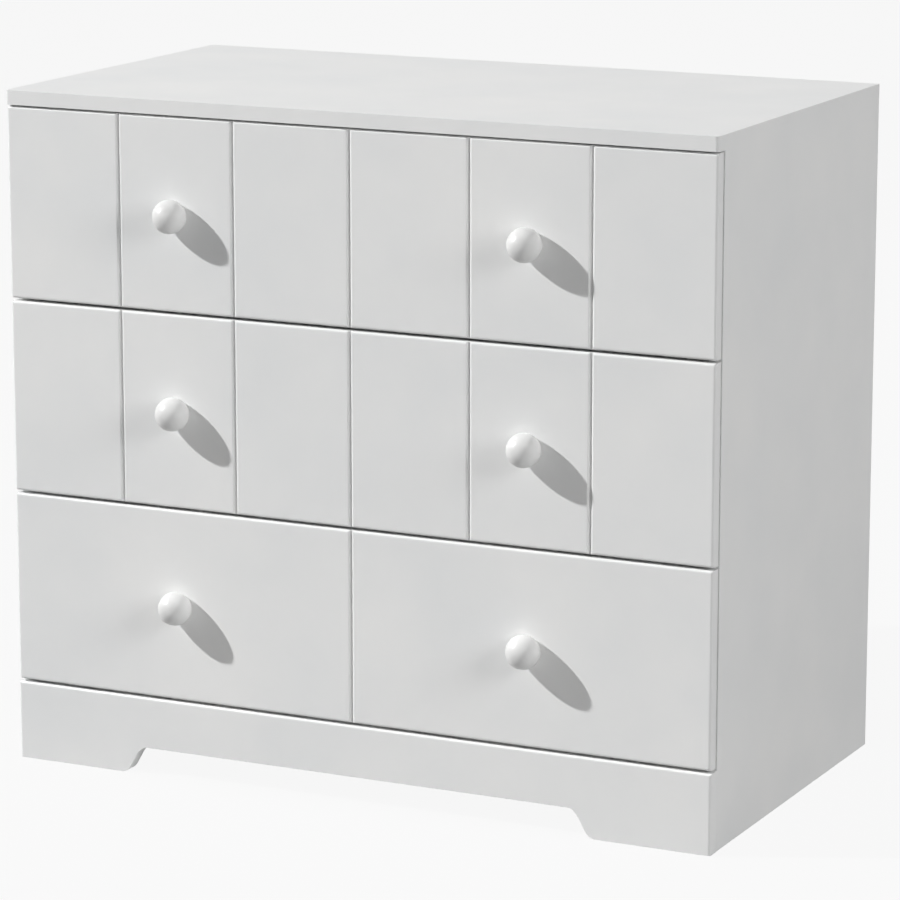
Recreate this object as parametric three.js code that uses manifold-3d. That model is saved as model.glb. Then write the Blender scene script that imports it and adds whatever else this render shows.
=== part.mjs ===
// Chest of three drawers, full size, in millimetres.
// X runs to the viewer's right, Y runs to the back, Z is up.
// The drawer fronts face -Y. The origin is on the floor, at the centre of the bounding box.
import * as THREE from 'three';
import { ConvexGeometry } from 'three/addons/geometries/ConvexGeometry.js';
import * as BufferGeometryUtils from 'three/addons/utils/BufferGeometryUtils.js';
import Module from 'manifold-3d';

const wasm = await Module();
wasm.setup();

// Overall size
const WIDTH = 1000;
const DEPTH = 550;
const HEIGHT = 900;
const KNOB_R = 22;
const KNOB_CENTRE = 16;
const KNOB_OUT = KNOB_CENTRE + KNOB_R;
const FACE_Y = -(DEPTH + KNOB_OUT) / 2 + KNOB_OUT;
const BACK_Y = FACE_Y + DEPTH;
const FIT = 0.3;

// Boards of the carcass
const TOP_T = 19;
const TOP_OVER = 2;
const TOP_EDGE_R = 1;
const TOP_CORNER_R = 5;
const SIDE_T = 18;
const BASE_T = 18;
const BASE_Z = 92;
const RAIL_T = 18;
const RAIL_W = 80;
const BACK_T = 4;
const REBATE_W = 8;
const REBATE_D = 6;

// Plinth board with its shaped cut-out
const PLINTH_T = 19;
const PLINTH_H = 105.5;
const ARCH_H = 37;
const ARCH_HALF = 306;
const FOOT_HALF = 343;

// Drawer fronts, from the top one down
const FRONT_W = 998;
const FRONT_T = 16;
const FRONT_EDGE_R = 3.5;
const FRONT_GAP = 3.5;
const FRONT_H = [253, 255, 255];
const GROOVES = [5, 5, 1];
const GROOVE_W = 7;
const GROOVE_D = 3.5;

// Drawer boxes
const BOX_T = 12;
const BOX_H = 190;
const BOX_LIFT = 16;
const BOX_LEN = 450;
const BOTTOM_T = 4;
const BOTTOM_LIFT = 10;
const SLOT_D = 6;
const RUNNER_SPACE = 12.7;

// Knobs and their screws
const KNOB_X = 250;
const BORE_R = 2.3;
const BORE_DEPTH = 20;
const SHANK_R = 2;
const SCREW_IN = 17;
const HOLE_R = 2.5;

// Runners
const RUN_LEN = 450;
const RUN_H = 45;
const RUN_STEEL = 1.2;
const RUN_LIFT = 70;
const RUN_FRONT_Y = FACE_Y + 26;

// Buffers
const BUFFER_R = 4;

const CASE_FRONT_Y = FACE_Y + PLINTH_T + FIT;
const UNDER_TOP = HEIGHT - TOP_T;
const INNER_X = WIDTH / 2 - SIDE_T;

const FINISH = {
  lacquer: { color: 0xf2f2f0, roughness: 0.38, metalness: 0 },
  melamine: { color: 0xebebe8, roughness: 0.5, metalness: 0 },
  hardboard: { color: 0xe4e3df, roughness: 0.6, metalness: 0 },
  steel: { color: 0xb9bcbf, roughness: 0.35, metalness: 1 },
  buffer: { color: 0xd6d8d6, roughness: 0.5, metalness: 0 },
};

const group = new THREE.Group();
group.name = 'chest_of_drawers';

function addMesh(name, geometry, finish) {
  const mesh = new THREE.Mesh(geometry, new THREE.MeshStandardMaterial(FINISH[finish]));
  mesh.name = name;
  group.add(mesh);
  return mesh;
}

// A plain board between two corners.
function board(x0, x1, y0, y1, z0, z1) {
  const g = new THREE.BoxGeometry(x1 - x0, y1 - y0, z1 - z0);
  g.translate((x0 + x1) / 2, (y0 + y1) / 2, (z0 + z1) / 2);
  return g;
}

// A flat outline in X and Y, raised from z0 to z1.
function raised(points, z0, z1) {
  const shape = new THREE.Shape(points.map(([x, y]) => new THREE.Vector2(x, y)));
  const g = new THREE.ExtrudeGeometry(shape, { depth: z1 - z0, bevelEnabled: false });
  g.translate(0, 0, z0);
  return g;
}

// A flat outline in X and Z, drawn out from y0 to y1.
function drawnBack(points, y0, y1) {
  const g = raised(points.map(([x, z]) => [x, z]), 0, y1 - y0);
  g.rotateX(Math.PI / 2);
  g.translate(0, y1, 0);
  return g;
}

function toSolid(geometry) {
  const g = geometry.clone();
  g.deleteAttribute('normal');
  g.deleteAttribute('uv');
  const m = BufferGeometryUtils.mergeVertices(g, 1e-4);
  return new wasm.Manifold(new wasm.Mesh({
    numProp: 3,
    vertProperties: new Float32Array(m.attributes.position.array),
    triVerts: new Uint32Array(m.index.array),
  }));
}

function fromSolid(solid) {
  const mesh = solid.getMesh();
  const g = new THREE.BufferGeometry();
  g.setAttribute('position', new THREE.BufferAttribute(new Float32Array(mesh.vertProperties), 3));
  g.setIndex(new THREE.BufferAttribute(new Uint32Array(mesh.triVerts), 1));
  const flat = g.toNonIndexed();
  flat.computeVertexNormals();
  return flat;
}

function cutAway(geometry, cutters) {
  let solid = toSolid(geometry);
  for (const cutter of cutters) {
    solid = solid.subtract(toSolid(cutter));
  }
  return fromSolid(solid);
}

// A round bar along Y.
function barY(x, z, r, y0, y1, sides) {
  const g = new THREE.CylinderGeometry(r, r, y1 - y0, sides);
  g.translate(x, (y0 + y1) / 2, z);
  return g;
}

// Top board: rounded plan corners at the front, eased upper and lower edges.
function topBoard() {
  const points = [];
  const x1 = WIDTH / 2;
  const yFront = FACE_Y - TOP_OVER;
  const levels = [];
  for (let i = 0; i <= 3; i += 1) {
    const a = (i / 3) * Math.PI / 2;
    levels.push([TOP_EDGE_R * (1 - Math.cos(a)), HEIGHT - TOP_EDGE_R + TOP_EDGE_R * Math.sin(a)]);
    levels.push([TOP_EDGE_R * (1 - Math.cos(a)), UNDER_TOP + TOP_EDGE_R - TOP_EDGE_R * Math.sin(a)]);
  }
  for (const [inset, z] of levels) {
    for (const sx of [-1, 1]) {
      points.push(new THREE.Vector3(sx * (x1 - inset), BACK_Y - inset, z));
      for (let k = 0; k <= 4; k += 1) {
        const b = (k / 4) * Math.PI / 2;
        const r = TOP_CORNER_R - inset;
        const cx = x1 - TOP_CORNER_R;
        const cy = yFront + TOP_CORNER_R;
        points.push(new THREE.Vector3(sx * (cx + r * Math.sin(b)), cy - r * Math.cos(b), z));
      }
    }
  }
  return new ConvexGeometry(points);
}

// Side board with a rebate for the back panel along its inner rear edge.
function sideBoard(s) {
  const outer = s * WIDTH / 2;
  const inner = s * INNER_X;
  const step = s * (INNER_X + REBATE_W);
  let points = [
    [inner, CASE_FRONT_Y],
    [outer, CASE_FRONT_Y],
    [outer, BACK_Y],
    [step, BACK_Y],
    [step, BACK_Y - REBATE_D],
    [inner, BACK_Y - REBATE_D],
  ];
  if (s < 0) {
    points = points.reverse();
  }
  return raised(points, 0, UNDER_TOP - FIT);
}

// Plinth outline: two bracket feet joined by a low arch with an S-shaped step.
function plinthBoard() {
  const half = [
    [ARCH_HALF, ARCH_H],
    [ARCH_HALF + 4.5, ARCH_H - 1],
    [ARCH_HALF + 9, ARCH_H - 4.5],
    [ARCH_HALF + 13.5, ARCH_H - 9.8],
    [ARCH_HALF + 19, ARCH_H - 19.5],
    [ARCH_HALF + 24, ARCH_H - 28.7],
    [ARCH_HALF + 27, ARCH_H - 32.4],
    [ARCH_HALF + 31, ARCH_H - 35.4],
    [FOOT_HALF, 0],
  ];
  const x1 = WIDTH / 2;
  const right = half.map(([x, z]) => [x, z]);
  const left = half.map(([x, z]) => [-x, z]).reverse();
  const points = [[-x1, PLINTH_H], [-x1, 0], ...left, ...right, [x1, 0], [x1, PLINTH_H]];
  return drawnBack(points, FACE_Y, FACE_Y + PLINTH_T);
}

// Overlay front: eased front edges, upright V-grooves, two screw holes, a slot for the bottom.
function drawerFront(row, z0, z1, knobZ, slotZ) {
  const x1 = FRONT_W / 2;
  const r = FRONT_EDGE_R;
  const points = [];
  const steps = [[FACE_Y + FRONT_T, 0]];
  for (let i = 0; i <= 4; i += 1) {
    const a = (i / 4) * Math.PI / 2;
    steps.push([FACE_Y + r - r * Math.sin(a), r * (1 - Math.cos(a))]);
  }
  for (const [y, inset] of steps) {
    for (const sx of [-1, 1]) {
      points.push(new THREE.Vector3(sx * (x1 - inset), y, z0 + inset));
      points.push(new THREE.Vector3(sx * (x1 - inset), y, z1 - inset));
    }
  }
  const cutters = [];
  const count = GROOVES[row];
  for (let i = 1; i <= count; i += 1) {
    const x = -WIDTH / 2 + (i * WIDTH) / (count + 1);
    const half = (GROOVE_W / 2) * (1 + 1 / GROOVE_D);
    const vee = [[x - half, FACE_Y - 1], [x + half, FACE_Y - 1], [x, FACE_Y + GROOVE_D]];
    cutters.push(raised(vee, z0 - 5, z1 + 5));
  }
  for (const sx of [-1, 1]) {
    cutters.push(barY(sx * KNOB_X, knobZ, HOLE_R, FACE_Y - 2, FACE_Y + FRONT_T + 2, 12));
  }
  const slotX = INNER_X - RUNNER_SPACE - BOX_T + SLOT_D;
  const yBack = FACE_Y + FRONT_T;
  cutters.push(board(-slotX, slotX, yBack - SLOT_D, yBack + 2, slotZ - FIT, slotZ + BOTTOM_T + FIT));
  return cutAway(new ConvexGeometry(points), cutters);
}

// Drawer side with a slot along its inner face for the bottom.
function drawerSide(s, z0, slotZ) {
  const outer = s * (INNER_X - RUNNER_SPACE);
  const inner = outer - s * BOX_T;
  const deep = inner + s * SLOT_D;
  let points = [
    [outer, z0],
    [outer, z0 + BOX_H],
    [inner, z0 + BOX_H],
    [inner, slotZ + BOTTOM_T + FIT],
    [deep, slotZ + BOTTOM_T + FIT],
    [deep, slotZ - FIT],
    [inner, slotZ - FIT],
    [inner, z0],
  ];
  if (s < 0) {
    points = points.reverse();
  }
  const y0 = FACE_Y + FRONT_T + FIT;
  return drawnBack(points, y0, y0 + BOX_LEN);
}

// A turned piece about an axis along Y: profile points are [radius, distance towards -Y].
function turned(profile, x, y, z, sides) {
  const g = new THREE.LatheGeometry(profile.map(([r, d]) => new THREE.Vector2(r, d)), sides);
  g.rotateX(Math.PI);
  g.translate(x, y, z);
  return fromSolid(toSolid(g));
}

// Knob: a turned ball cut flat at the back, with a blind bore for the screw.
function knobProfile() {
  const flatR = Math.sqrt(KNOB_R ** 2 - KNOB_CENTRE ** 2);
  const points = [
    [0, BORE_DEPTH],
    [BORE_R, BORE_DEPTH],
    [BORE_R, 0],
    [flatR, 0],
  ];
  const start = Math.atan2(-KNOB_CENTRE + FIT, flatR);
  const steps = 11;
  for (let i = 1; i < steps; i += 1) {
    const a = start + (i / steps) * (Math.PI / 2 - start);
    points.push([KNOB_R * Math.cos(a), KNOB_CENTRE - FIT + KNOB_R * Math.sin(a)]);
  }
  points.push([0, KNOB_OUT - FIT]);
  return points;
}

function screwProfile() {
  const length = FRONT_T + FIT + SCREW_IN;
  return [
    [0, -2.8],
    [2.6, -2.8],
    [3.8, -2.2],
    [4.3, -1.2],
    [4.3, 0],
    [SHANK_R, 0],
    [SHANK_R, length - 0.6],
    [SHANK_R - 0.6, length],
    [0, length],
  ];
}

// Channel-shaped runner member along Y, open towards the other member.
function channel(s, xWeb, reach, halfH, zMid, y0, y1) {
  const webIn = xWeb;
  const webOut = xWeb + s * RUN_STEEL;
  const tip = xWeb + s * reach;
  const t = RUN_STEEL;
  let points = [
    [webIn, zMid - halfH],
    [tip, zMid - halfH],
    [tip, zMid - halfH + t],
    [webOut, zMid - halfH + t],
    [webOut, zMid + halfH - t],
    [tip, zMid + halfH - t],
    [tip, zMid + halfH],
    [webIn, zMid + halfH],
  ];
  if (s < 0) {
    points = points.reverse();
  }
  return drawnBack(points, y0, y1);
}

// Carcass
addMesh('top_panel', topBoard(), 'lacquer');
addMesh('side_left', sideBoard(-1), 'lacquer');
addMesh('side_right', sideBoard(1), 'lacquer');
const backX = INNER_X + REBATE_W - FIT;
const backY = BACK_Y - REBATE_D + FIT;
addMesh('back_panel', board(-backX, backX, backY, backY + BACK_T, 60, UNDER_TOP - FIT), 'hardboard');
const innerX = INNER_X - FIT;
const innerBackY = BACK_Y - REBATE_D;
addMesh('base_panel', board(-innerX, innerX, CASE_FRONT_Y, innerBackY, BASE_Z, BASE_Z + BASE_T), 'melamine');
addMesh('plinth_front', plinthBoard(), 'lacquer');
const rearY = innerBackY - 60;
addMesh('plinth_rear', board(-innerX, innerX, rearY, rearY + 18, 32, BASE_Z - FIT), 'melamine');
const railZ = UNDER_TOP - FIT;
const railFrontY = CASE_FRONT_Y + RAIL_W;
addMesh('rail_top_front', board(-innerX, innerX, CASE_FRONT_Y, railFrontY, railZ - RAIL_T, railZ), 'melamine');
const railRearY = innerBackY - RAIL_W;
addMesh('rail_top_rear', board(-innerX, innerX, railRearY, innerBackY, railZ - RAIL_T, railZ), 'melamine');

// Drawers, with the cabinet members of their runners
const knobPoints = knobProfile();
const screwPoints = screwProfile();
let topZ = PLINTH_H + FRONT_GAP * 3 + FRONT_H[0] + FRONT_H[1] + FRONT_H[2];
for (let row = 0; row < 3; row += 1) {
  const z1 = topZ;
  const z0 = z1 - FRONT_H[row];
  topZ = z0 - FRONT_GAP;
  const n = `d${row + 1}`;
  const knobZ = (z0 + z1) / 2;
  const boxZ = z0 + BOX_LIFT;
  const slotZ = boxZ + BOTTOM_LIFT;
  const yIn = FACE_Y + FRONT_T + FIT;
  const yEnd = yIn + BOX_LEN;
  const runZ = boxZ + RUN_LIFT;
  addMesh(`${n}_front`, drawerFront(row, z0, z1, knobZ, slotZ), 'lacquer');
  const insideX = INNER_X - RUNNER_SPACE - BOX_T;
  const backFront = yEnd - BOX_T;
  const backZ = slotZ + BOTTOM_T + FIT;
  addMesh(`${n}_back`, board(-insideX + FIT, insideX - FIT, backFront, yEnd, backZ, boxZ + BOX_H), 'melamine');
  const bottomX = insideX + SLOT_D - FIT;
  const bottomY = FACE_Y + FRONT_T - SLOT_D + FIT;
  addMesh(`${n}_bottom`, board(-bottomX, bottomX, bottomY, yEnd, slotZ, slotZ + BOTTOM_T), 'hardboard');
  for (const [side, s] of [['left', -1], ['right', 1]]) {
    addMesh(`${n}_side_${side}`, drawerSide(s, boxZ, slotZ), 'melamine');
    addMesh(`${n}_knob_${side}`, turned(knobPoints, s * KNOB_X, FACE_Y - FIT, knobZ, 28), 'lacquer');
    const headY = FACE_Y + FRONT_T + FIT;
    addMesh(`${n}_screw_${side}`, turned(screwPoints, s * KNOB_X, headY, knobZ, 12), 'steel');
    const webCase = s * (INNER_X - FIT);
    const caseRun = channel(-s, webCase, 10.2, RUN_H / 2, runZ, RUN_FRONT_Y, RUN_FRONT_Y + RUN_LEN);
    addMesh(`case_runner_${row + 1}_${side}`, caseRun, 'steel');
    const webBox = s * (INNER_X - RUNNER_SPACE + FIT);
    const halfIn = RUN_H / 2 - RUN_STEEL - 0.6;
    const boxRun = channel(s, webBox, 10, halfIn, runZ, RUN_FRONT_Y, RUN_FRONT_Y + RUN_LEN - 10);
    addMesh(`${n}_runner_${side}`, boxRun, 'steel');
    const bufferY = FACE_Y + FRONT_T + FIT;
    const bufferX = s * (WIDTH / 2 - SIDE_T / 2);
    const buffer = barY(bufferX, z1 - 30, BUFFER_R, bufferY, CASE_FRONT_Y - FIT, 12);
    addMesh(`${n}_bumper_${side}`, buffer, 'buffer');
  }
}

export default group;
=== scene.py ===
"""A white chest of three drawers: lacquered boards, V-grooved fronts, turned knobs, steel runners."""

import math

import bmesh
import bpy
from mathutils import Matrix, Vector


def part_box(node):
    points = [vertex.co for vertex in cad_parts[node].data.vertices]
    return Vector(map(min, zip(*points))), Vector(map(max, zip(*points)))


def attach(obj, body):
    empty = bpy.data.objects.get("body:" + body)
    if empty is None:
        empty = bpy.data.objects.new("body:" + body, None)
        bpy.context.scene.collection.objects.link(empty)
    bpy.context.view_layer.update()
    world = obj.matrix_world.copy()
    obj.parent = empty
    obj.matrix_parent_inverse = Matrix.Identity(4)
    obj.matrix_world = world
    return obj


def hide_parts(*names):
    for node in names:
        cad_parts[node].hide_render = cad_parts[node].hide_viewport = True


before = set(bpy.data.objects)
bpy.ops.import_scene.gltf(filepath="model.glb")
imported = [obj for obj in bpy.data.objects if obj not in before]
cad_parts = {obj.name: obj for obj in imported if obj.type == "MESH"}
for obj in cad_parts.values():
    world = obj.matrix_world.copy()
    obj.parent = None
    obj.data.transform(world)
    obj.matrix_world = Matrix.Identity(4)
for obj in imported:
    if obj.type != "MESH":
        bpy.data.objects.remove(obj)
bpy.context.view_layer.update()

MM = 0.001
CHEST_W = 1000 * MM
SIDES = (("left", -1), ("right", 1))
ROWS = (1, 2, 3)


def linear(hex_colour):
    """sRGB hex to linear red, green, blue, alpha."""
    out = []
    for i in (1, 3, 5):
        c = int(hex_colour[i:i + 2], 16) / 255
        out.append(c / 12.92 if c <= 0.04045 else ((c + 0.055) / 1.055) ** 2.4)
    return (*out, 1.0)


def add(tree, kind, inputs=None, **settings):
    """Adds one node: its settings, and for each input a value, a socket or a node's first output."""
    made = tree.nodes.new(kind)
    for key, value in settings.items():
        setattr(made, key, value)
    for key, value in (inputs or {}).items():
        if isinstance(value, bpy.types.Node):
            value = value.outputs[0]
        if isinstance(value, bpy.types.NodeSocket):
            tree.links.new(value, made.inputs[key])
        else:
            made.inputs[key].default_value = value
    return made


# ---------------------------------------------------------------- finishes

# a noise texture keeps to about the middle of 0 to 1; this spreads it over the whole
SPREAD = {"From Min": 0.3, "From Max": 0.7}


def start_finish(name):
    """An empty material, its node tree, and the place on the chest that patterns are laid out from."""
    material = bpy.data.materials.new(name)
    material.use_nodes = True
    material.node_tree.nodes.clear()
    place = add(material.node_tree, "ShaderNodeTexCoord").outputs["Object"]
    return material, material.node_tree, place


def satin_lacquer():
    """Polyurethane lacquer sprayed on fibreboard: an even white, a soft sheen, faint orange peel."""
    material, tree, place = start_finish("satin_white_lacquer")
    # spray passes overlap about every 160 mm, which barely shifts the white
    cloud = add(tree, "ShaderNodeTexNoise", {"Vector": place, "Scale": 1 / (160 * MM), "Detail": 3.0})
    share = add(tree, "ShaderNodeMapRange", {"Value": cloud, **SPREAD})
    white = add(tree, "ShaderNodeMix", {"Factor": share, 6: linear("#EDEEEE"), 7: linear("#F3F3F2")},
                data_type="RGBA")
    # wiping leaves upright streaks of slightly different sheen, 45 mm across
    streak = add(tree, "ShaderNodeMapping", {"Vector": place, "Scale": (1.0, 1.0, 0.35)})
    wiped = add(tree, "ShaderNodeTexNoise", {"Vector": streak, "Scale": 1 / (45 * MM), "Detail": 4.0})
    sheen = add(tree, "ShaderNodeMapRange", {
        "Value": wiped, **SPREAD, "To Min": 0.36, "To Max": 0.44})
    # orange peel 2.4 mm across, over the slow wave of the sanded board, 30 mm across
    peel = add(tree, "ShaderNodeTexNoise", {"Vector": place, "Scale": 1 / (2.4 * MM)})
    ripple = add(tree, "ShaderNodeBump", {"Height": peel, "Distance": 0.03 * MM, "Strength": 0.5})
    wave = add(tree, "ShaderNodeTexNoise", {"Vector": place, "Scale": 1 / (30 * MM), "Detail": 1.0})
    skin = add(tree, "ShaderNodeBump", {
        "Height": wave, "Distance": 0.2 * MM, "Strength": 0.25, "Normal": ripple})
    surface = add(tree, "ShaderNodeBsdfPrincipled", {
        "Base Color": white.outputs[2], "Roughness": sheen, "Normal": skin, "IOR": 1.5,
        "Coat Weight": 0.12, "Coat Roughness": 0.25})
    add(tree, "ShaderNodeOutputMaterial", {"Surface": surface})
    return material


def knob_lacquer():
    """Lacquer dipped over a turned beech ball: creamier depth than the boards, faint lathe rings."""
    material, tree, place = start_finish("white_knob_lacquer")
    cloud = add(tree, "ShaderNodeTexNoise", {"Vector": place, "Scale": 1 / (20 * MM)})
    share = add(tree, "ShaderNodeMapRange", {"Value": cloud, **SPREAD})
    white = add(tree, "ShaderNodeMix", {"Factor": share, 6: linear("#E3E3E2"), 7: linear("#E9E9E8")},
                data_type="RGBA")
    # tool rings 2.6 mm apart along the axis: coarser than real ones, so that they show at all
    turning = add(tree, "ShaderNodeAttribute", attribute_name="turning").outputs["Vector"]
    rings = add(tree, "ShaderNodeTexWave", {
        "Vector": turning, "Scale": 120.0, "Distortion": 0.6, "Detail": 1.0},
        wave_type="BANDS", bands_direction="Y")
    ripple = add(tree, "ShaderNodeBump", {
        "Height": rings.outputs["Fac"], "Distance": 0.02 * MM, "Strength": 0.35})
    peel = add(tree, "ShaderNodeTexNoise", {"Vector": place, "Scale": 1 / (2.2 * MM)})
    skin = add(tree, "ShaderNodeBump", {
        "Height": peel, "Distance": 0.03 * MM, "Strength": 0.5, "Normal": ripple})
    sheen = add(tree, "ShaderNodeMapRange", {
        "Value": cloud, **SPREAD, "To Min": 0.34, "To Max": 0.40})
    surface = add(tree, "ShaderNodeBsdfPrincipled", {
        "Base Color": white.outputs[2], "Roughness": sheen, "Normal": skin, "IOR": 1.5,
        "Coat Weight": 0.1, "Coat Roughness": 0.22})
    add(tree, "ShaderNodeOutputMaterial", {"Surface": surface})
    return material


def melamine():
    """Melamine-faced chipboard: matt white with a fine pearl grain pressed into the paper."""
    material, tree, place = start_finish("white_melamine")
    cloud = add(tree, "ShaderNodeTexNoise", {"Vector": place, "Scale": 1 / (90 * MM), "Detail": 3.0})
    share = add(tree, "ShaderNodeMapRange", {"Value": cloud, **SPREAD})
    white = add(tree, "ShaderNodeMix", {"Factor": share, 6: linear("#DFDFDD"), 7: linear("#E6E6E4")},
                data_type="RGBA")
    # the pearl grain of the press plate is about 1.2 mm
    pearl = add(tree, "ShaderNodeTexNoise", {"Vector": place, "Scale": 1 / (1.2 * MM), "Detail": 3.0})
    skin = add(tree, "ShaderNodeBump", {"Height": pearl, "Distance": 0.06 * MM, "Strength": 0.5})
    sheen = add(tree, "ShaderNodeMapRange", {
        "Value": pearl, **SPREAD, "To Min": 0.46, "To Max": 0.58})
    surface = add(tree, "ShaderNodeBsdfPrincipled", {
        "Base Color": white.outputs[2], "Roughness": sheen, "Normal": skin, "IOR": 1.52})
    add(tree, "ShaderNodeOutputMaterial", {"Surface": surface})
    return material


def hardboard():
    """Thin pressed fibreboard: white printed inside, raw brown fibre on the face towards the wall."""
    material, tree, place = start_finish("printed_hardboard")
    # fibre bundles 3.5 mm long, lying flat; blotches of the print 50 mm across
    lying = add(tree, "ShaderNodeMapping", {"Vector": place, "Scale": (1.0, 1.0, 3.0)})
    fibre = add(tree, "ShaderNodeTexNoise", {
        "Vector": lying, "Scale": 1 / (3.5 * MM), "Detail": 6.0, "Roughness": 0.7})
    blotch = add(tree, "ShaderNodeTexNoise", {"Vector": place, "Scale": 1 / (50 * MM), "Detail": 3.0})
    fibre_share = add(tree, "ShaderNodeMapRange", {"Value": fibre, **SPREAD})
    print_share = add(tree, "ShaderNodeMapRange", {"Value": blotch, **SPREAD})
    raw = add(tree, "ShaderNodeMix", {"Factor": fibre_share, 6: linear("#8C6A48"), 7: linear("#B08D66")},
              data_type="RGBA")
    white = add(tree, "ShaderNodeMix", {"Factor": print_share, 6: linear("#DADAD7"), 7: linear("#E1E1DE")},
                data_type="RGBA")
    facing = add(tree, "ShaderNodeNewGeometry").outputs["Normal"]
    towards = add(tree, "ShaderNodeSeparateXYZ", {"Vector": facing}).outputs["Y"]
    behind = add(tree, "ShaderNodeMath", {0: towards, 1: 0.5}, operation="GREATER_THAN")
    faced = add(tree, "ShaderNodeMix", {"Factor": behind, 6: white.outputs[2], 7: raw.outputs[2]},
                data_type="RGBA")
    skin = add(tree, "ShaderNodeBump", {"Height": fibre, "Distance": 0.15 * MM, "Strength": 0.4})
    sheen = add(tree, "ShaderNodeMapRange", {
        "Value": fibre, **SPREAD, "To Min": 0.6, "To Max": 0.75})
    surface = add(tree, "ShaderNodeBsdfPrincipled", {
        "Base Color": faced.outputs[2], "Roughness": sheen, "Normal": skin})
    add(tree, "ShaderNodeOutputMaterial", {"Surface": surface})
    return material


def plated_steel(name, dark, light, roughness, drawn_along):
    """Zinc-plated steel: cool grey, cloudy from the bath, with the mill's fine lines along its length."""
    material, tree, place = start_finish(name)
    # mill lines 1.5 mm apart, coarser than real ones so that they show; bath clouds 12 mm across
    along = add(tree, "ShaderNodeMapping", {"Vector": place, "Scale": drawn_along})
    lines = add(tree, "ShaderNodeTexNoise", {"Vector": along, "Scale": 1 / (1.5 * MM), "Detail": 3.0})
    cloud = add(tree, "ShaderNodeTexNoise", {"Vector": place, "Scale": 1 / (12 * MM)})
    share = add(tree, "ShaderNodeMapRange", {"Value": cloud, **SPREAD})
    grey = add(tree, "ShaderNodeMix", {"Factor": share, 6: linear(dark), 7: linear(light)}, data_type="RGBA")
    sheen = add(tree, "ShaderNodeMapRange", {
        "Value": lines, **SPREAD,
        "To Min": roughness - 0.06, "To Max": roughness + 0.08})
    skin = add(tree, "ShaderNodeBump", {"Height": lines, "Distance": 0.03 * MM, "Strength": 0.4})
    surface = add(tree, "ShaderNodeBsdfPrincipled", {
        "Base Color": grey.outputs[2], "Metallic": 1.0, "Roughness": sheen, "Normal": skin})
    add(tree, "ShaderNodeOutputMaterial", {"Surface": surface})
    return material


def buffer_vinyl():
    """Milky soft vinyl: pale, slightly clear, with a dull moulded skin."""
    material, tree, place = start_finish("milky_vinyl_buffer")
    cloud = add(tree, "ShaderNodeTexNoise", {"Vector": place, "Scale": 1 / (4 * MM)})
    share = add(tree, "ShaderNodeMapRange", {"Value": cloud, **SPREAD})
    milk = add(tree, "ShaderNodeMix", {"Factor": share, 6: linear("#DDE0DE"), 7: linear("#E8EAE8")},
               data_type="RGBA")
    grain = add(tree, "ShaderNodeTexNoise", {"Vector": place, "Scale": 1 / (0.8 * MM)})
    skin = add(tree, "ShaderNodeBump", {"Height": grain, "Distance": 0.03 * MM, "Strength": 0.4})
    surface = add(tree, "ShaderNodeBsdfPrincipled", {
        "Base Color": milk.outputs[2], "Roughness": 0.42, "Normal": skin, "IOR": 1.53,
        "Transmission Weight": 0.25})
    add(tree, "ShaderNodeOutputMaterial", {"Surface": surface})
    return material


LACQUER = satin_lacquer()
KNOB = knob_lacquer()
MELAMINE = melamine()
HARDBOARD = hardboard()
ZINC = plated_steel("bright_zinc_plate", "#C4C7CA", "#D6D8DA", 0.26, (1.0, 1.0, 1.0))
STRIP = plated_steel("cold_rolled_runner_steel", "#B9BCBF", "#CBCED0", 0.34, (1.0, 0.04, 1.0))
BUFFER = buffer_vinyl()


# ---------------------------------------------------------------- mesh helpers

def new_object(name, mesh, material=None):
    """Puts a mesh into the scene under the name, in one material if one is given."""
    made = bpy.data.objects.new(name, mesh)
    bpy.context.scene.collection.objects.link(made)
    if material is not None:
        mesh.materials.clear()
        mesh.materials.append(material)
    return made


def baked(made):
    """Turns the object's modifiers into plain mesh."""
    bpy.context.view_layer.update()
    depsgraph = bpy.context.evaluated_depsgraph_get()
    shape = bpy.data.meshes.new_from_object(made.evaluated_get(depsgraph))
    made.modifiers.clear()
    old = made.data
    made.data = shape
    bpy.data.meshes.remove(old)


def finish_piece(piece, body, slot, *nodes):
    """Attaches the piece to the body it rides on and hides the CAD parts it stands for; slot is not used."""
    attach(piece, body)
    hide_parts(*nodes)


def ease_edges(bm, radius, segments, pick=None):
    """Rounds the sharp edges of a closed board; flat faces stay flat, the rounds are smooth."""
    for face in bm.faces:
        face.smooth = False
    edges = [e for e in bm.edges
             if len(e.link_faces) == 2 and e.calc_face_angle(0) > math.radians(30)]
    if pick is not None:
        edges = [e for e in edges if pick(e)]
    made = bmesh.ops.bevel(bm, geom=edges, offset=radius, segments=segments, profile=0.5,
                           affect="EDGES", clamp_overlap=True)
    for face in made["faces"]:
        face.smooth = True


def eased_copy(node, radius, segments=3, pick=None):
    """A mesh of a CAD board with its arrises rounded."""
    bm = bmesh.new()
    bm.from_mesh(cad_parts[node].data)
    bmesh.ops.remove_doubles(bm, verts=bm.verts, dist=1e-6)
    bmesh.ops.dissolve_limit(bm, angle_limit=math.radians(1), verts=bm.verts, edges=bm.edges)
    ease_edges(bm, radius, segments, pick)
    bmesh.ops.recalc_face_normals(bm, faces=bm.faces)
    mesh = bpy.data.meshes.new(node + "_eased")
    bm.to_mesh(mesh)
    bm.free()
    return mesh


def drawn_out(name, outline, start, end):
    """A closed outline of X and Z drawn out along Y, from front to back."""
    bm = bmesh.new()
    rings = []
    for y in (start, end):
        rings.append([bm.verts.new((x, y, z)) for x, z in outline])
    count = len(outline)
    for ring in rings:
        bm.faces.new(ring)
    for i in range(count):
        j = (i + 1) % count
        bm.faces.new((rings[0][i], rings[0][j], rings[1][j], rings[1][i]))
    bmesh.ops.recalc_face_normals(bm, faces=bm.faces)
    mesh = bpy.data.meshes.new(name)
    bm.to_mesh(mesh)
    bm.free()
    return mesh


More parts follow.
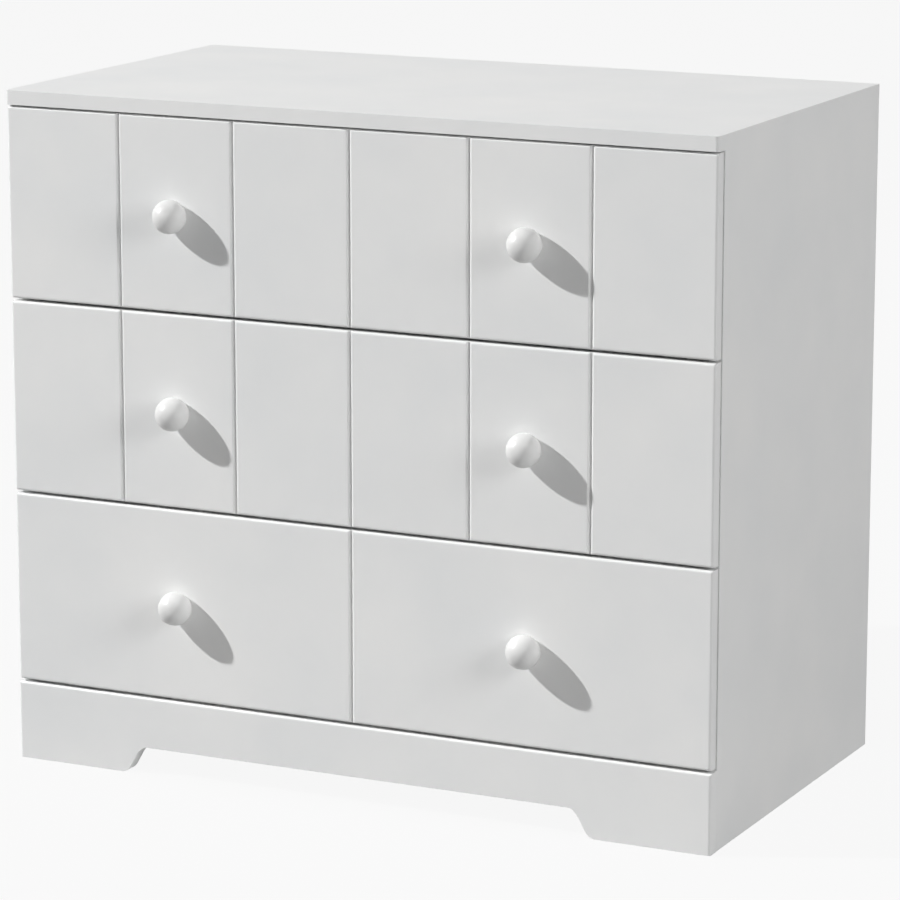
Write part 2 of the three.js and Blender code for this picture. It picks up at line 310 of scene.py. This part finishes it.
def turned(name, profile, centre, out_dir, sides):
    """A solid turned about an axis along Y: profile is (radius, distance), the ends are on the axis."""
    bm = bmesh.new()
    turning = bm.verts.layers.float_vector.new("turning")
    rings = []
    for radius, distance in profile:
        ring = []
        for k in range(1 if radius < 1e-7 else sides):
            a = 2 * math.pi * k / sides
            local = Vector((radius * math.cos(a), distance, radius * math.sin(a)))
            vert = bm.verts.new(centre + Vector((local.x, out_dir * local.y, local.z)))
            vert[turning] = local
            ring.append(vert)
        rings.append(ring)
    for low, high in zip(rings, rings[1:]):
        for k in range(sides):
            j = (k + 1) % sides
            corners = [low[k % len(low)], low[j % len(low)], high[j % len(high)], high[k % len(high)]]
            bm.faces.new(list(dict.fromkeys(corners)))
    bmesh.ops.recalc_face_normals(bm, faces=bm.faces)
    for face in bm.faces:
        face.smooth = True
    mesh = bpy.data.meshes.new(name)
    bm.to_mesh(mesh)
    bm.free()
    return mesh


def smooth_path(points, steps):
    """A Catmull-Rom curve through the points."""
    out = []
    for i in range(len(points) - 1):
        p0 = points[max(i - 1, 0)]
        p1, p2 = points[i], points[i + 1]
        p3 = points[min(i + 2, len(points) - 1)]
        for s in range(steps):
            t = s / steps
            out.append(tuple(
                0.5 * (2 * b + (c - a) * t + (2 * a - 5 * b + 4 * c - d) * t * t
                       + (3 * b - a - 3 * c + d) * t ** 3)
                for a, b, c, d in zip(p0, p1, p2, p3)))
    out.append(tuple(points[-1]))
    return out


# ---------------------------------------------------------------- shapes that follow a rule

def grooved_face_tree():
    """Presses evenly spaced V-grooves, and a rounded margin, into a flat front skin."""
    tree = bpy.data.node_groups.new("grooved_face", "GeometryNodeTree")
    face = tree.interface
    face.new_socket("Geometry", in_out="INPUT", socket_type="NodeSocketGeometry")
    for name in ("Half Width", "Bottom", "Top", "Face", "Edge Radius", "Board Width",
                 "Groove Width", "Groove Depth", "Arris"):
        face.new_socket(name, in_out="INPUT", socket_type="NodeSocketFloat")
    face.new_socket("Finish", in_out="INPUT", socket_type="NodeSocketMaterial")
    face.new_socket("Geometry", in_out="OUTPUT", socket_type="NodeSocketGeometry")
    given = add(tree, "NodeGroupInput").outputs
    at = add(tree, "ShaderNodeSeparateXYZ", {"Vector": add(tree, "GeometryNodeInputPosition")}).outputs
    known = {"x": at["X"], "z": at["Z"], **{socket.name: socket for socket in given if socket.name}}
    for result, operation, *terms in (
            # how far the skin falls back at the rounded margin
            ("from middle", "ABSOLUTE", "x"),
            ("from end", "SUBTRACT", "Half Width", "from middle"),
            ("above bottom", "SUBTRACT", "z", "Bottom"),
            ("below top", "SUBTRACT", "Top", "z"),
            ("from rim", "MINIMUM", "above bottom", "below top"),
            ("end run", "SUBTRACT", "Edge Radius", "from end"),
            ("end run", "MAXIMUM", "end run", 0.0),
            ("rim run", "SUBTRACT", "Edge Radius", "from rim"),
            ("rim run", "MAXIMUM", "rim run", 0.0),
            ("end square", "MULTIPLY", "end run", "end run"),
            ("rim square", "MULTIPLY", "rim run", "rim run"),
            ("run square", "ADD", "end square", "rim square"),
            ("radius square", "MULTIPLY", "Edge Radius", "Edge Radius"),
            ("left over", "SUBTRACT", "radius square", "run square"),
            ("left over", "MAXIMUM", "left over", 0.0),
            ("left over", "SQRT", "left over"),
            ("margin", "SUBTRACT", "Edge Radius", "left over"),
            # how deep the nearest groove is here
            ("boards across", "DIVIDE", "x", "Board Width"),
            ("boards across", "ROUND", "boards across"),
            ("groove middle", "MULTIPLY", "boards across", "Board Width"),
            ("off middle", "SUBTRACT", "x", "groove middle"),
            ("off middle", "ABSOLUTE", "off middle"),
            ("half groove", "MULTIPLY", "Groove Width", 0.5),
            ("slope", "DIVIDE", "off middle", "half groove"),
            ("slope", "SUBTRACT", 1.0, "slope"),
            ("vee", "MULTIPLY", "slope", "Groove Depth"),
            ("blunting", "MULTIPLY", "Arris", 0.35),
            ("blunt depth", "SUBTRACT", "Groove Depth", "blunting"),
            ("vee", "SMOOTH_MIN", "vee", "blunt depth", "Arris"),
            ("vee", "SMOOTH_MAX", "vee", 0.0, "Arris"),
            # no groove at the two ends of the front
            ("last half board", "MULTIPLY", "Board Width", 0.5),
            ("grooved half", "SUBTRACT", "Half Width", "last half board"),
            ("inside", "LESS_THAN", "from middle", "grooved half"),
            ("groove", "MULTIPLY", "vee", "inside"),
            ("depth", "MAXIMUM", "margin", "groove"),
            ("y", "ADD", "Face", "depth")):
        known[result] = add(tree, "ShaderNodeMath",
                            {i: known.get(term, term) for i, term in enumerate(terms)},
                            operation=operation).outputs[0]
    place = add(tree, "ShaderNodeCombineXYZ", {"X": known["x"], "Y": known["y"], "Z": known["z"]})
    skin = add(tree, "GeometryNodeInputNamedAttribute", {"Name": "front_skin"}, data_type="BOOLEAN")
    pressed = add(tree, "GeometryNodeSetPosition", {
        "Geometry": given["Geometry"], "Selection": skin, "Position": place})
    whole = add(tree, "GeometryNodeRealizeInstances", {"Geometry": pressed})
    done = add(tree, "GeometryNodeSetMaterial", {"Geometry": whole, "Material": given["Finish"]})
    add(tree, "NodeGroupOutput", {"Geometry": done})
    return tree


def line_of_heads_tree():
    """Adds a straight line of small domed heads, such as panel pins or runner screws."""
    tree = bpy.data.node_groups.new("line_of_heads", "GeometryNodeTree")
    face = tree.interface
    face.new_socket("Geometry", in_out="INPUT", socket_type="NodeSocketGeometry")
    face.new_socket("Count", in_out="INPUT", socket_type="NodeSocketInt")
    for name in ("Start", "Step", "Turn"):
        face.new_socket(name, in_out="INPUT", socket_type="NodeSocketVector")
    for name in ("Head Radius", "Head Height"):
        face.new_socket(name, in_out="INPUT", socket_type="NodeSocketFloat")
    face.new_socket("Finish", in_out="INPUT", socket_type="NodeSocketMaterial")
    face.new_socket("Geometry", in_out="OUTPUT", socket_type="NodeSocketGeometry")
    given = add(tree, "NodeGroupInput").outputs
    part = {}
    for result, size, share in (("shoulder", "Head Radius", 0.82), ("crown", "Head Radius", 0.35),
                                ("brim height", "Head Height", 0.6), ("crown height", "Head Height", 0.4),
                                ("lift", "Head Height", 0.599)):
        part[result] = add(tree, "ShaderNodeMath", {0: given[size], 1: share}, operation="MULTIPLY")
    brim = add(tree, "GeometryNodeMeshCone", {
        "Vertices": 20, "Radius Top": part["shoulder"], "Radius Bottom": given["Head Radius"],
        "Depth": part["brim height"]})
    crown = add(tree, "GeometryNodeMeshCone", {
        "Vertices": 20, "Radius Top": part["crown"], "Radius Bottom": part["shoulder"],
        "Depth": part["crown height"]})
    lift = add(tree, "ShaderNodeCombineXYZ", {"Z": part["lift"]})
    raised = add(tree, "GeometryNodeTransform", {"Geometry": crown, "Translation": lift})
    head = add(tree, "GeometryNodeJoinGeometry", {0: brim})
    tree.links.new(raised.outputs[0], head.inputs[0])
    line = add(tree, "GeometryNodeMeshLine", {
        "Count": given["Count"], "Start Location": given["Start"], "Offset": given["Step"]},
        mode="OFFSET")
    turn = add(tree, "FunctionNodeEulerToRotation", {"Euler": given["Turn"]})
    heads = add(tree, "GeometryNodeInstanceOnPoints", {
        "Points": line, "Instance": head, "Rotation": turn})
    joined = add(tree, "GeometryNodeJoinGeometry", {0: heads})
    tree.links.new(given["Geometry"], joined.inputs[0])
    whole = add(tree, "GeometryNodeRealizeInstances", {"Geometry": joined})
    done = add(tree, "GeometryNodeSetMaterial", {"Geometry": whole, "Material": given["Finish"]})
    add(tree, "NodeGroupOutput", {"Geometry": done})
    return tree


def apply_tree(made, tree, **values):
    """Adds the tree as a modifier and sets its inputs; underscores stand for spaces."""
    modifier = made.modifiers.new(tree.name, "NODES")
    modifier.node_group = tree
    keys = {item.name: item.identifier for item in tree.interface.items_tree
            if item.item_type == "SOCKET" and item.in_out == "INPUT"}
    for name, value in values.items():
        modifier[keys[name.replace("_", " ")]] = value


GROOVED = grooved_face_tree()
HEADS = line_of_heads_tree()


# ---------------------------------------------------------------- drawer fronts

EDGE_R = 3.5 * MM
GROOVE_W = 7.0 * MM
GROOVE_D = 3.5 * MM
GROOVE_ARRIS = 0.8 * MM
BOARDS = {1: 6, 2: 6, 3: 2}


def front_slab(node, boards):
    """A closed slab whose front skin is finely divided at its margins and at each groove."""
    low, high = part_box(node)
    half = high.x
    pitch = CHEST_W / boards
    turns = [0, 9, 18, 27, 36, 45, 54, 63, 72, 81, 90]
    steps = [EDGE_R * (1 - math.cos(math.radians(a))) for a in turns]
    margin = sorted({round(s, 7) for s in steps} | {round(EDGE_R * 1.3, 7)})
    xs = [-half + s for s in margin] + [half - s for s in margin]
    across = (0, 0.2, 0.4, 0.7, 1.2, 1.9, 2.5, 2.9, 3.2, 3.5, 3.8, 4.2, 5.0, 7.0)
    for i in range(1, boards):
        centre = -CHEST_W / 2 + i * pitch
        xs += [centre + s * d * MM for d in across for s in (-1, 1)]
    xs = sorted({round(x, 7) for x in xs})
    zs = [low.z + s for s in margin] + [high.z - s for s in margin]
    zs += [low.z + (high.z - low.z) * f for f in (0.25, 0.5, 0.75)]
    zs = sorted({round(z, 7) for z in zs})
    bm = bmesh.new()
    skin = bm.verts.layers.bool.new("front_skin")
    front = [[bm.verts.new((x, low.y, z)) for z in zs] for x in xs]
    back = [[bm.verts.new((x, high.y, z)) for z in (zs[0], zs[-1])] for x in xs]
    for column in front:
        for vert in column:
            vert[skin] = True
    for i in range(len(xs) - 1):
        for j in range(len(zs) - 1):
            face = bm.faces.new((front[i][j], front[i + 1][j], front[i + 1][j + 1], front[i][j + 1]))
            face.smooth = True
        bm.faces.new((back[i][0], back[i][1], back[i + 1][1], back[i + 1][0]))
        bm.faces.new((front[i][0], back[i][0], back[i + 1][0], front[i + 1][0]))
        bm.faces.new((front[i][-1], front[i + 1][-1], back[i + 1][1], back[i][1]))
    for i, order in ((0, 1), (-1, -1)):
        rim = [*front[i][::order], *back[i][::-order]]
        bm.faces.new(rim)
    bmesh.ops.recalc_face_normals(bm, faces=bm.faces)
    mesh = bpy.data.meshes.new(node + "_slab")
    bm.to_mesh(mesh)
    bm.free()
    return mesh, low, high


def grooved_front(row):
    """A lacquered drawer front with its rounded margin and V-grooves pressed in."""
    node = f"d{row}_front"
    mesh, low, high = front_slab(node, BOARDS[row])
    piece = new_object(f"drawer_{row}_grooved_front", mesh)
    apply_tree(piece, GROOVED, Half_Width=high.x, Bottom=low.z, Top=high.z, Face=low.y,
               Edge_Radius=EDGE_R, Board_Width=CHEST_W / BOARDS[row], Groove_Width=GROOVE_W,
               Groove_Depth=GROOVE_D, Arris=GROOVE_ARRIS, Finish=LACQUER)
    baked(piece)
    finish_piece(piece, f"drawer_{row}", "white_lacquer", node)


# ---------------------------------------------------------------- knobs and screws

# ball radius, and how far its centre stands out from the front
KNOB_R = 22 * MM
KNOB_OUT = 16 * MM
KNOB_SIDES = 96


def ball_profile():
    """Radius and distance of a ball with its back cut flat, with a small round where the cut meets it."""
    flat = math.sqrt(KNOB_R ** 2 - KNOB_OUT ** 2)
    points = [(0, 0), (flat - 0.9 * MM, 0), (flat - 0.3 * MM, 0.15 * MM), (flat + 0.25 * MM, 0.6 * MM)]
    start = math.asin((1.2 * MM - KNOB_OUT) / KNOB_R)
    count = 44
    for i in range(count + 1):
        a = start + (math.pi / 2 - start) * i / count
        points.append((KNOB_R * math.cos(a) if i < count else 0, KNOB_OUT + KNOB_R * math.sin(a)))
    return points


def knob(row, side):
    """A turned ball, flat where it seats on the drawer front."""
    node = f"d{row}_knob_{side}"
    low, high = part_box(node)
    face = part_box(f"d{row}_front")[0].y
    centre = Vector(((low.x + high.x) / 2, face, (low.z + high.z) / 2))
    mesh = turned(node + "_turned", ball_profile(), centre, -1, KNOB_SIDES)
    piece = new_object(f"drawer_{row}_turned_knob_{side}", mesh, KNOB)
    finish_piece(piece, f"drawer_{row}", "knob_lacquer", node)


def pan_head_screw():
    """A machine screw at the origin, head towards +Y, with a cross recess."""
    head = [(0, 2.75), (1.6, 2.7), (2.8, 2.4), (3.7, 1.8), (4.2, 0.9), (4.25, 0.15), (4.1, 0.0),
            (2.0, 0.0)]
    shank = []
    for i in range(22):
        crest = 1.98 if i % 2 else 1.72
        shank.append((crest, -11.5 - i * 0.95))
    profile = [*head, (1.95, -11.0), *shank, (1.4, -33.0), (0, -33.2)]
    mesh = turned("pan_head", [(r * MM, d * MM) for r, d in profile], Vector((0, 0, 0)), 1, 32)
    screw = new_object("pan_head_blank", mesh, ZINC)
    for turn in (0, 90):
        bm = bmesh.new()
        bmesh.ops.create_cube(bm, size=1.0, matrix=Matrix.Translation((0, 2.3 * MM, 0))
                              @ Matrix.Rotation(math.radians(turn), 4, "Y")
                              @ Matrix.Diagonal((4.2 * MM, 2.6 * MM, 0.75 * MM, 1)))
        blade = bpy.data.meshes.new("recess_blade")
        bm.to_mesh(blade)
        bm.free()
        tool = new_object("recess_blade", blade)
        cut = screw.modifiers.new("recess", "BOOLEAN")
        cut.object = tool
        cut.operation = "DIFFERENCE"
        cut.solver = "EXACT"
        baked(screw)
        bpy.data.objects.remove(tool)
    mesh = screw.data.copy()
    bpy.data.objects.remove(screw)
    return mesh


def knob_screw(row, side, blank):
    """A copy of the screw with its head seated inside the drawer."""
    node = f"d{row}_screw_{side}"
    low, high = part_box(node)
    mesh = blank.copy()
    seat = high.y - 2.8 * MM
    mesh.transform(Matrix.Translation(((low.x + high.x) / 2, seat, (low.z + high.z) / 2)))
    piece = new_object(f"drawer_{row}_knob_screw_{side}", mesh)
    finish_piece(piece, f"drawer_{row}", "zinc_steel", node)


# ---------------------------------------------------------------- carcass boards

def top_board():
    """The top: round front corners, eased arrises, and sharp ones where it sits on the sides."""
    low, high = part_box("top_panel")
    corner = 5 * MM
    outline = [(low.x, high.y), (high.x, high.y)]
    for sx, turn in ((1, 1), (-1, -1)):
        arc = []
        for k in range(9):
            a = math.radians(90 * k / 8)
            arc.append((sx * (high.x - corner + corner * math.cos(a)),
                        low.y + corner - corner * math.sin(a)))
        outline += arc[::turn]
    bm = bmesh.new()
    rings = [[bm.verts.new((x, y, z)) for x, y in outline] for z in (low.z, high.z)]
    for ring in rings:
        bm.faces.new(ring)
    for i in range(len(outline)):
        j = (i + 1) % len(outline)
        bm.faces.new((rings[0][i], rings[0][j], rings[1][j], rings[1][i]))
    bmesh.ops.recalc_face_normals(bm, faces=bm.faces)
    ease_edges(bm, 1 * MM, 4, lambda e: max(v.co.z for v in e.verts) > high.z - 0.1 * MM
               or max(v.co.y for v in e.verts) < low.y + 0.1 * MM)
    mesh = bpy.data.meshes.new("top_board")
    bm.to_mesh(mesh)
    bm.free()
    finish_piece(new_object("top_board", mesh, LACQUER), "carcass", "white_lacquer", "top_panel")


# half outline of the step between arch and foot, in millimetres from the middle and the floor
STEP = [(300, 37), (306, 36.9), (310.5, 35.8), (315, 32.4), (319.5, 27.0), (325, 17.3), (330, 8.6),
        (333.2, 4.4), (337, 1.6), (341, 0.25), (343, 0)]


def plinth_board():
    """The plinth with its arch and two feet, rounded at the ends and eased along the front."""
    low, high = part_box("plinth_front")
    step = smooth_path(STEP, 4)
    right = [(x * MM, z * MM) for x, z in step]
    left = [(-x, z) for x, z in right[::-1]]
    outline = [(low.x, high.z), (low.x, low.z), *left, *right, (high.x, low.z), (high.x, high.z)]
    mesh = drawn_out("plinth_board", outline, low.y, high.y)
    bm = bmesh.new()
    bm.from_mesh(mesh)
    front = low.y + 0.01 * MM
    ease_edges(bm, 3.5 * MM, 6, lambda e: all(v.co.y < front and abs(abs(v.co.x) - high.x) < 0.01 * MM
                                              for v in e.verts))
    ease_edges(bm, 1.2 * MM, 3, lambda e: all(v.co.y < front and abs(v.co.x) < high.x - 3.4 * MM
                                              for v in e.verts))
    bm.to_mesh(mesh)
    bm.free()
    finish_piece(new_object("plinth_board", mesh, LACQUER), "carcass", "white_lacquer", "plinth_front")


def side_board(side):
    """A side board, eased on its upright and bottom arrises; its top edge closes up to the top board."""
    node = f"side_{side}"
    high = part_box(node)[1].z
    mesh = eased_copy(node, 1 * MM, 3, lambda e: min(v.co.z for v in e.verts) < high - 0.1 * MM)
    for vert in mesh.vertices:
        if vert.co.z > high - 0.1 * MM:
            vert.co.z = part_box("top_panel")[0].z - 0.02 * MM
    finish_piece(new_object(f"{side}_side_board", mesh, LACQUER), "carcass", "white_lacquer", node)


EASED_BOARDS = [
    ("back_panel", "carcass", "hardboard_back", 0.3, HARDBOARD, "hardboard"),
    ("base_panel", "carcass", "base_board", 0.6, MELAMINE, "white_melamine"),
    ("plinth_rear", "carcass", "rear_stretcher", 0.6, MELAMINE, "white_melamine"),
    ("rail_top_front", "carcass", "front_top_rail", 0.6, MELAMINE, "white_melamine"),
    ("rail_top_rear", "carcass", "rear_top_rail", 0.6, MELAMINE, "white_melamine"),
]
for n in ROWS:
    body = f"drawer_{n}"
    EASED_BOARDS += [
        (f"d{n}_side_left", body, f"{body}_box_side_left", 0.8, MELAMINE, "white_melamine"),
        (f"d{n}_side_right", body, f"{body}_box_side_right", 0.8, MELAMINE, "white_melamine"),
        (f"d{n}_back", body, f"{body}_box_back", 0.8, MELAMINE, "white_melamine"),
        (f"d{n}_bottom", body, f"{body}_box_bottom", 0.3, HARDBOARD, "hardboard"),
    ]


# ---------------------------------------------------------------- runners and buffers

STEEL_T = 1.2 * MM
BEND_R = 2.4 * MM
RUNNER_SCREWS = 4
FIRST_SCREW = 35 * MM
SCREW_PITCH = 124 * MM


def rolled_section(web, reach, low_z, high_z, s):
    """A channel rolled from strip, with round bends: web at one side, flanges running to s."""
    tip = web + s * reach
    outer, inner = [], []
    for z_end, sign in ((low_z, -1), (high_z, 1)):
        cz = z_end - sign * BEND_R
        cx = web + s * BEND_R
        for side, radius, flange_z in ((outer, BEND_R, z_end),
                                       (inner, BEND_R - STEEL_T, z_end - sign * STEEL_T)):
            arc = [(cx - s * radius * math.cos(a), cz + sign * radius * math.sin(a))
                   for a in (math.radians(22.5 * k) for k in range(5))]
            side.append([*arc, (tip, flange_z)])
    return [*outer[0][::-1], *outer[1], *inner[1][::-1], *inner[0]]


def runner(node, piece_name, body, s):
    """One rolled steel runner member; s is the side its flanges point to, -1 or 1."""
    low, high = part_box(node)
    web = low.x if s > 0 else high.x
    outline = rolled_section(web, high.x - low.x, low.z, high.z, s)
    mesh = drawn_out(piece_name, outline, low.y, high.y)
    piece = new_object(piece_name, mesh, STRIP)
    finish_piece(piece, body, "runner_steel", node)


def screw_lines(body, name, nodes):
    """Four screw heads along each runner member, standing on the inside of its web."""
    piece = new_object(name, bpy.data.meshes.new(name))
    for node, s in nodes:
        low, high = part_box(node)
        web = (low.x if s > 0 else high.x) + s * (STEEL_T + 0.45 * MM)
        start = (web, low.y + FIRST_SCREW, (low.z + high.z) / 2)
        apply_tree(piece, HEADS, Count=RUNNER_SCREWS, Start=start, Step=(0, SCREW_PITCH, 0),
                   Turn=(0, s * math.pi / 2, 0), Head_Radius=3.6 * MM, Head_Height=1.5 * MM,
                   Finish=ZINC)
    baked(piece)
    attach(piece, body)


def buffer(row, side):
    """A soft dome behind the front that sets the gap it closes to."""
    node = f"d{row}_bumper_{side}"
    low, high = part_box(node)
    radius = (high.x - low.x) / 2
    deep = high.y - low.y
    profile = [(0, 0), (radius * 0.94, 0), (radius, deep * 0.08), (radius * 0.99, deep * 0.3),
               (radius * 0.92, deep * 0.55), (radius * 0.76, deep * 0.78), (radius * 0.5, deep * 0.93),
               (radius * 0.22, deep * 0.99), (0, deep)]
    centre = Vector(((low.x + high.x) / 2, low.y, (low.z + high.z) / 2))
    mesh = turned(node + "_dome", profile, centre, 1, 32)
    piece = new_object(f"drawer_{row}_buffer_{side}", mesh, BUFFER)
    finish_piece(piece, f"drawer_{row}", "buffer_plastic", node)


PIN_HEAD = {"Head_Radius": 2.2 * MM, "Head_Height": 0.7 * MM, "Finish": ZINC}
PIN_PITCH_UP = 106 * MM
PIN_PITCH_ACROSS = 110 * MM
FIRST_PIN_ACROSS = -440 * MM


def panel_pins():
    """Small pin heads round the back panel, along its rebates and along the rail and the base."""
    piece = new_object("back_panel_pins", bpy.data.meshes.new("back_panel_pins"))
    low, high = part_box("back_panel")
    turn = (-math.pi / 2, 0, 0)
    y = high.y + 0.12 * MM
    for x in (low.x + 4 * MM, high.x - 4 * MM):
        apply_tree(piece, HEADS, Count=8, Start=(x, y, low.z + 40 * MM),
                   Step=(0, 0, PIN_PITCH_UP), Turn=turn, **PIN_HEAD)
    for node in ("base_panel", "rail_top_rear"):
        board_low, board_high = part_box(node)
        middle = (board_low.z + board_high.z) / 2
        apply_tree(piece, HEADS, Count=9, Start=(FIRST_PIN_ACROSS, y, middle),
                   Step=(PIN_PITCH_ACROSS, 0, 0), Turn=turn, **PIN_HEAD)
    baked(piece)
    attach(piece, "carcass")


# ---------------------------------------------------------------- the chest

top_board()
plinth_board()
for side, _ in SIDES:
    side_board(side)
for node, body, name, radius, material, slot in EASED_BOARDS:
    finish_piece(new_object(name, eased_copy(node, radius * MM), material), body, slot, node)
blank = pan_head_screw()
for n in ROWS:
    grooved_front(n)
    for side, s in SIDES:
        knob(n, side)
        knob_screw(n, side, blank)
        buffer(n, side)
        runner(f"d{n}_runner_{side}", f"drawer_{n}_runner_{side}", f"drawer_{n}", s)
        runner(f"case_runner_{n}_{side}", f"case_runner_member_{n}_{side}", "carcass", -s)
    screw_lines(f"drawer_{n}", f"drawer_{n}_runner_screws",
                [(f"d{n}_runner_{side}", s) for side, s in SIDES])
screw_lines("carcass", "case_runner_screws",
            [(f"case_runner_{n}_{side}", -s) for n in ROWS for side, s in SIDES])
panel_pins()
bpy.data.meshes.remove(blank)


# ---------------------------------------------------------------- floor, light and camera

FLOOR_BOUNCE = 0.32
FLOOR_WHITE = 0.92
SURROUND = 0.09
LAMPS = [
    # name, place, target, power, size across, seen in gloss
    ("key", (-3.65, -2.08, 3.29), (0, -0.26, 0.5), 10.8, 0.13, True),
    ("side_fill", (3.4, -1.2, 1.9), (0.5, 0, 0.45), 4.3, 1.8, False),
    ("front_fill", (2.2, -3.6, 0.9), (0.3, -0.26, 0.4), 0.5, 1.6, False),
    ("wall_side", (-0.6, 4.6, 1.1), (0, 0.3, 0.5), 3.2, 2.2, False),
]


FLOOR_REACH = 30
SENSOR_W = 36
LENS = 4174.3 / 900 * SENSOR_W
CAMERA_PLACE = (2.3793, -4.8534, 1.5951)
CAMERA_TURN = (math.pi / 2 - 0.2143, 0.0003, 0.4530)


def studio_floor():
    """A wide pale floor, grey in what it throws back, and near white to the eye."""
    mesh = bpy.data.meshes.new("studio_floor")
    corners = [(x * FLOOR_REACH, y * FLOOR_REACH, 0) for x, y in ((-1, -1), (1, -1), (1, 1), (-1, 1))]
    mesh.from_pydata(corners, [], [(0, 1, 2, 3)])
    material = bpy.data.materials.new("pale_studio_floor")
    material.use_nodes = True
    tree = material.node_tree
    tree.nodes.clear()
    paint = add(tree, "ShaderNodeBsdfPrincipled", {
        "Base Color": (FLOOR_BOUNCE, FLOOR_BOUNCE, FLOOR_BOUNCE, 1), "Roughness": 0.9,
        "Specular IOR Level": 0.0})
    glow = add(tree, "ShaderNodeEmission", {"Color": (1, 1, 1, 1), "Strength": 1.0})
    ray = add(tree, "ShaderNodeLightPath").outputs
    seen = add(tree, "ShaderNodeMath", {0: ray["Is Camera Ray"], 1: ray["Is Glossy Ray"]},
               operation="MAXIMUM")
    share = add(tree, "ShaderNodeMath", {0: seen, 1: FLOOR_WHITE}, operation="MULTIPLY")
    mixed = add(tree, "ShaderNodeMixShader", {0: share, 1: paint, 2: glow})
    add(tree, "ShaderNodeOutputMaterial", {"Surface": mixed})
    floor = new_object("studio_floor", mesh, material)
    floor.location = (0, 0, -0.5 * MM)


def soft_surround():
    """An even surround: dim in the light it throws, pale to the eye and in the gloss of the lacquer."""
    world = bpy.data.worlds.new("soft_surround")
    bpy.context.scene.world = world
    world.use_nodes = True
    tree = world.node_tree
    tree.nodes.clear()
    dim = add(tree, "ShaderNodeBackground", {"Color": (1, 1, 1, 1), "Strength": SURROUND})
    pale = add(tree, "ShaderNodeBackground", {"Color": (1, 1, 1, 1), "Strength": FLOOR_WHITE})
    ray = add(tree, "ShaderNodeLightPath").outputs
    seen = add(tree, "ShaderNodeMath", {0: ray["Is Camera Ray"], 1: ray["Is Glossy Ray"]},
               operation="MAXIMUM")
    mixed = add(tree, "ShaderNodeMixShader", {0: seen, 1: dim, 2: pale})
    add(tree, "ShaderNodeOutputWorld", {"Surface": mixed})


def lamp(name, place, target, power, size, glossy):
    """A round studio lamp; its light doesn't fall off, so the far end stays as bright as the near one."""
    data = bpy.data.lights.new(name, "AREA")
    data.shape = "DISK"
    data.size = size
    data.energy = power
    data.use_nodes = True
    data.node_tree.nodes.clear()
    even = add(data.node_tree, "ShaderNodeLightFalloff", {"Strength": 1.0}).outputs["Constant"]
    glow = add(data.node_tree, "ShaderNodeEmission", {"Color": (1, 1, 1, 1), "Strength": even})
    add(data.node_tree, "ShaderNodeOutputLight", {"Surface": glow})
    made = bpy.data.objects.new(name, data)
    bpy.context.scene.collection.objects.link(made)
    made.visible_glossy = glossy
    made.location = place
    made.rotation_euler = (Vector(target) - Vector(place)).to_track_quat("-Z", "Y").to_euler()


def place_camera():
    """A long lens to the right of the chest, a little above its top, tilted down."""
    data = bpy.data.cameras.new("camera")
    camera = bpy.data.objects.new("camera", data)
    bpy.context.scene.collection.objects.link(camera)
    data.lens = LENS
    data.sensor_width = SENSOR_W
    data.clip_start = 0.1
    data.clip_end = 200
    camera.location = CAMERA_PLACE
    camera.rotation_euler = CAMERA_TURN
    bpy.context.scene.camera = camera


studio_floor()
soft_surround()
for settings in LAMPS:
    lamp(*settings)
bpy.context.scene.view_settings.view_transform = "Standard"
place_camera()
